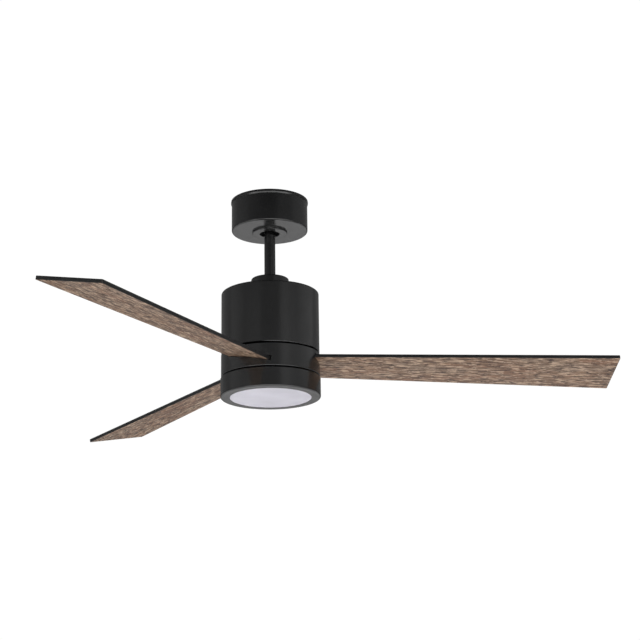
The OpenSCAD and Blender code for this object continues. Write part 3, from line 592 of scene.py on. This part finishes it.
def make_housing(paint):
    radius, low, high = radius_and_levels("motor_housing")
    inner = radius - SHELL
    corners = [
        (HOUSING_HOLE_R, high, EDGE), (radius, high, HOUSING_TOP_ROUND), (radius, low, DRUM_FOOT_ROUND),
        (inner, low, FINE_EDGE), (inner, high - SHELL, 1.5 * MM), (HOUSING_HOLE_R, high - SHELL, EDGE),
    ]
    holes = [rod(DRUM_SCREW_HOLE_R, 4 * SHELL, upright(x, y, high)) for x, y in on_circle(*HOUSING_SCREWS)]
    return turned("motor_drum", "motor_housing", corners, paint, "hanging", "black_paint", holes)


def blade_matrix(angle):
    """Frame of a blade: X along it, Y across it, Z square to its faces."""
    return (Matrix.Rotation(math.radians(angle), 4, "Z") @ Matrix.Translation((0, 0, BLADE_Z))
            @ Matrix.Rotation(math.radians(BLADE_DROOP), 4, "Y")
            @ Matrix.Rotation(math.radians(-BLADE_PITCH), 4, "X"))


def make_hub(paint):
    radius, low, high = radius_and_levels("blade_hub")
    inner = radius - SHELL
    corners = [
        (HUB_HOLE_R, high, EDGE), (radius, high, GAP_EDGE_ROUND), (radius, low, DRUM_FOOT_ROUND),
        (inner, low, FINE_EDGE), (inner, high - HUB_TOP, 0.5 * MM), (HUB_HOLE_R, high - HUB_TOP, EDGE),
    ]
    holes = [rod(DRUM_SCREW_HOLE_R, 4 * HUB_TOP, upright(x, y, high)) for x, y in on_circle(*HUB_SCREWS)]
    inside, outside = BLADE_SLOT_CUT
    for angle in BLADE_ANGLES.values():
        turn = Matrix.Rotation(math.radians(angle), 4, "Z")
        for side in (-1, 1):
            bolt = turn @ Vector((IRON_BOLT[0], side * IRON_BOLT[1], high))
            holes.append(rod(DRUM_SCREW_HOLE_R, 4 * HUB_TOP, Matrix.Translation(bolt)))
        holes.append(block((radius - inside, -BLADE_SLOT_HALF, -BLADE_SLOT_H / 2),
                           (radius + outside, BLADE_SLOT_HALF, BLADE_SLOT_H / 2), blade_matrix(angle)))
    return turned("hub_band", "blade_hub", corners, paint, "rotor", "black_paint", holes)


def make_light_housing(paint):
    radius, low, high = radius_and_levels("light_housing")
    inner = radius - SHELL
    lip = LENS_R + LENS_GAP
    deck = high - LIGHT_DECK
    corners = [
        (LIGHT_HOLE_R, deck, EDGE), (LIGHT_HOLE_R, high - SHELL, EDGE), (inner, high - SHELL, 0.5 * MM),
        (inner, high, EDGE), (radius, high, GAP_EDGE_ROUND), (radius, low, LIGHT_FOOT_ROUND),
        (lip, low, EDGE), (lip, low + LIGHT_LIP, FINE_EDGE),
        (inner, low + LIGHT_LIP, 1.5 * MM), (inner, deck, EDGE),
    ]
    holes = [rod(LIGHT_SCREW_HOLE_R, 4 * SHELL, upright(x, y, deck)) for x, y in on_circle(*LIGHT_SCREWS)]
    return turned("light_drum", "light_housing", corners, paint, "hanging", "black_paint", holes)


def make_lens(opal):
    radius, low, high = radius_and_levels("lens")
    flange = high - LENS_FLANGE
    corners = [
        (0, high, 0), (radius, high, EDGE), (radius, flange, EDGE),
        (LENS_R, flange, FINE_EDGE), (LENS_R, low, 0.6 * MM), (0, low, 0),
    ]
    return turned("lens_disc", "lens", corners, opal, "hanging", "opal")


def make_blade(letter, wood, coat):
    """Board with rounded tip corners and eased edges: wood below, black on top and round the edges."""
    root_x, root_w = BLADE_ROOT
    tip_x, tip_w = BLADE_TIP
    outline = rounded([(root_x, -root_w / 2, 0), (tip_x, -tip_w / 2, BLADE_CORNER_R),
                       (tip_x, tip_w / 2, BLADE_CORNER_R), (root_x, root_w / 2, 0)], 6)
    mesh = bmesh.new()
    rims = [[mesh.verts.new((x, y, z)) for x, y in outline] for z in (-BLADE_T / 2, BLADE_T / 2)]
    under = mesh.faces.new(rims[0])
    top = mesh.faces.new(rims[1])
    for k in range(len(outline)):
        side = mesh.faces.new((rims[0][k - 1], rims[0][k], rims[1][k], rims[1][k - 1]))
        side.material_index = 1
    top.material_index = 1
    bmesh.ops.recalc_face_normals(mesh, faces=mesh.faces)
    edges = list(under.edges) + list(top.edges)
    bmesh.ops.bevel(mesh, geom=edges, offset=BLADE_EDGE_ROUND, segments=3, profile=0.5, affect="EDGES",
                    material=1)
    blade = as_object("blade_board_" + letter, mesh)
    for material in (wood, coat):
        blade.data.materials.append(material)
    cut(blade, [rod(BLADE_SCREW_HOLE_R, 4 * BLADE_T, upright(x, y)) for x, y in BLADE_SCREWS])
    blade.matrix_world = blade_matrix(BLADE_ANGLES[letter])
    return finish_piece(blade, "rotor", "weathered_wood", "blade_" + letter)


def dress(material, *names):
    """Gives CAD nodes that are shown as they are their material."""
    for name in names:
        data = nodes[name].data
        data.materials.clear()
        data.materials.append(material)


def dress_inner_parts():
    """Materials for all the CAD nodes that no piece stands for."""
    dress(metal("zinc_plate", (0.50, 0.52, 0.54), (0.66, 0.67, 0.68), 0.30),
          "hanger_bracket", "canopy_lugs", "ball_cradle", "light_plate", "lens_clips")
    dress(metal("bright_steel", (0.52, 0.53, 0.55), (0.70, 0.71, 0.72), 0.12, relief=0.004),
          "bearing_balls", "bearing_inner_races", "bearing_outer_races")
    dress(metal("plain_steel", (0.36, 0.36, 0.37), (0.52, 0.52, 0.53), 0.32, grain=(1, 1, 6)),
          "ball_cross_pin", "ball_set_screw", "yoke_pin", "pin_clip", "yoke_set_screws", "motor_shaft",
          "shaft_nuts", "board_screws", "light_screws", "housing_screws")
    dress(metal("black_oxide", (0.05, 0.05, 0.055), (0.10, 0.10, 0.11), 0.38),
          "canopy_screws", "blade_screws", "iron_bolts", "hub_screws", "bell_bolts")
    dress(metal("stator_steel", (0.30, 0.30, 0.31), (0.42, 0.42, 0.43), 0.42, grain=(0.05, 0.05, 9)),
          "stator_core")
    dress(metal("cast_iron", (0.10, 0.10, 0.105), (0.17, 0.17, 0.175), 0.55, grain_scale=260, relief=0.12),
          "motor_yoke")
    dress(metal("cast_aluminium", (0.45, 0.46, 0.47), (0.60, 0.61, 0.62), 0.42, grain_scale=240, relief=0.08),
          "blade_iron_a", "blade_iron_b", "blade_iron_c")
    dress(satin_paint("bell_coat", (0.010, 0.010, 0.0105), 0.45), "upper_bell", "lower_bell")
    dress(metal("spun_aluminium", (0.66, 0.67, 0.68), (0.78, 0.79, 0.80), 0.28), "heat_sink")
    dress(metal("nickel_plate", (0.42, 0.41, 0.39), (0.55, 0.54, 0.51), 0.22), "rotor_magnets")
    dress(metal("green_anodised", (0.03, 0.20, 0.06), (0.05, 0.30, 0.10), 0.35), "ground_screw")
    dress(plastic("black_moulding", (0.022, 0.022, 0.024)),
          "receiver_case", "receiver_lid", "hanger_ball", "motor_capacitors")
    dress(plastic("white_moulding", (0.74, 0.73, 0.68), 0.38), "ball_liner", "harness_plug", "led_driver")
    dress(plastic("orange_moulding", (0.62, 0.19, 0.03), 0.36), "wire_connectors")
    dress(plastic("phosphor", (0.82, 0.62, 0.14), 0.3), "led_chips")
    dress(winding_look("copper_winding"), "stator_coils")
    dress(board_look("green_board", (0.02, 0.13, 0.05), (0.05, 0.24, 0.09)), "motor_board")
    dress(board_look("white_board", (0.72, 0.73, 0.74), (0.80, 0.81, 0.82)), "led_board")
    dress(leads_look("receiver_lead_set", "Z", (-47.5 * MM, -45.0 * MM), MAINS_LEADS), "receiver_leads")
    dress(leads_look("motor_lead_set", "X", (-0.95 * MM, 0.95 * MM), MAINS_LEADS), "motor_leads")
    dress(leads_look("lamp_lead_set", "Y", (0.0,), LAMP_LEADS), "lamp_leads")


def make_pieces():
    paint = satin_paint("satin_black", (0.0055, 0.0056, 0.0059))
    coat = blade_paint("blade_black")
    make_canopy(paint)
    make_trim_ring(paint)
    make_downrod(paint)
    make_cover(paint)
    make_grommet(rubber_look("grommet_rubber"))
    make_housing(paint)
    make_hub(paint)
    make_light_housing(paint)
    make_lens(opal_look("opal_acrylic", (0.59, 0.577, 0.645)))
    for index, letter in enumerate(BLADE_ANGLES):
        wood = weathered_wood("weathered_wood_" + letter, (1.7 * index, 0.63 * index, 0.2 * index))
        make_blade(letter, wood, coat)
    dress_inner_parts()


# ---------- studio ----------

def make_world():
    """White behind the object for the camera; the rest of the light comes from a soft studio gradient."""
    world = bpy.data.worlds.new("studio")
    bpy.context.scene.world = world
    world.use_nodes = True
    tree = world.node_tree
    tree.nodes.clear()
    way = add(tree, "SeparateXYZ", {"Vector": add(tree, "TexCoord").outputs["Generated"]}).outputs
    around = spread(tree, way["Y"], 0.03, 0.19, -0.94, -0.2)
    overhead = spread(tree, way["Z"], 1.0, 0.25, 0.45, 0.65)
    level = add(tree, "Math", {0: around, 1: overhead}, operation="MULTIPLY").outputs[0]
    seen = add(tree, "LightPath").outputs["Is Camera Ray"]
    light = add(tree, "Background", {"Color": (1, 1, 1, 1), "Strength": level})
    backdrop = add(tree, "Background", {"Color": (1, 1, 1, 1), "Strength": 1.02})
    both = add(tree, "MixShader", {0: seen, 1: light.outputs[0], 2: backdrop.outputs[0]})
    out = add(tree, "OutputWorld")
    tree.links.new(both.outputs[0], out.inputs["Surface"])


def softbox(name, position, target, size, radiance, mirrored=True):
    """Rectangular light of an even radiance, facing a target; the camera doesn't see it."""
    data = bpy.data.lights.new(name, "AREA")
    data.shape = "RECTANGLE"
    data.size, data.size_y = size
    data.energy = radiance * math.pi * size[0] * size[1]
    made = bpy.data.objects.new(name, data)
    made.location = position
    made.rotation_euler = (Vector(target) - Vector(position)).to_track_quat("-Z", "Y").to_euler()
    made.visible_camera = False
    made.visible_glossy = mirrored
    bpy.context.scene.collection.objects.link(made)


def make_floor():
    """Lit by the studio lights for the object's sake; the camera sees it evenly pale."""
    material, tree, shader = blank("pale_floor")
    tone = noise(tree, place(tree), 0.8, 3)
    connect(tree, shader, base_color=ramp(tree, tone, (0.3, (0.78, 0.78, 0.78)), (0.7, (0.82, 0.82, 0.82))))
    shader.inputs["Roughness"].default_value = 0.9
    seen = add(tree, "LightPath").outputs["Is Camera Ray"]
    even = add(tree, "Emission", {"Color": rgba((0.90, 0.90, 0.90))})
    both = add(tree, "MixShader", {0: seen, 1: shader.outputs[0], 2: even.outputs[0]})
    tree.links.new(both.outputs[0], tree.nodes["Material Output"].inputs["Surface"])
    mesh = bmesh.new()
    bmesh.ops.create_grid(mesh, x_segments=2, y_segments=2, size=FLOOR_REACH)
    floor = as_object("floor", mesh)
    floor.location.z = FLOOR_Z
    floor.data.materials.append(material)


def make_studio():
    """World, floor and lights; a softbox has its position, target, size and radiance."""
    make_world()
    make_floor()
    softbox("overhead", (0, 2.3, 2.5), (0, 2.3, 0), (7, 7), 3.5, mirrored=False)
    softbox("low_front", (0, -2.2, -1.9), (0, 0, -0.3), (8.0, 1.5), 1.9)
    softbox("front", (0, -3.3, -0.15), (0, 0, -0.15), (7.0, 1.2), 0.17)
    softbox("front_high", (-0.4, -3.3, 0.72), (-0.4, 0, 0.72), (7.0, 0.55), 0.22)
    softbox("front_left", (-2.1, -2.5, 0.1), (0, 0, 0.1), (2.0, 1.6), 0.15)
    softbox("front_right", (2.1, -2.5, 0.6), (0, 0, 0.6), (2.2, 0.7), 0.34)
    softbox("right", (3.2, -0.2, 0.6), (0, -0.2, 0.6), (3.5, 0.7), 0.26)
    softbox("left", (-3.2, -0.9, 0.1), (0, -0.9, 0.1), (3.5, 1.6), 0.16)


def make_camera():
    """The photograph's point of view: below the fan, looking up."""
    yaw, pitch, roll = (math.radians(angle) for angle in CAMERA_TURN)
    ahead = Vector((math.sin(yaw) * math.cos(pitch), math.cos(yaw) * math.cos(pitch), math.sin(pitch)))
    level_right = Vector((math.cos(yaw), -math.sin(yaw), 0))
    level_up = level_right.cross(ahead)
    right = level_right * math.cos(roll) + level_up * math.sin(roll)
    up = level_up * math.cos(roll) - level_right * math.sin(roll)
    data = bpy.data.cameras.new("camera")
    data.lens = CAMERA_LENS
    data.sensor_width = 36
    camera = bpy.data.objects.new("camera", data)
    camera.matrix_world = Matrix.Translation(CAMERA_PLACE) @ Matrix((right, up, -ahead)).transposed().to_4x4()
    bpy.context.scene.collection.objects.link(camera)
    bpy.context.scene.camera = camera
    bpy.context.scene.view_settings.view_transform = "Standard"


make_camera()
make_studio()
make_pieces()
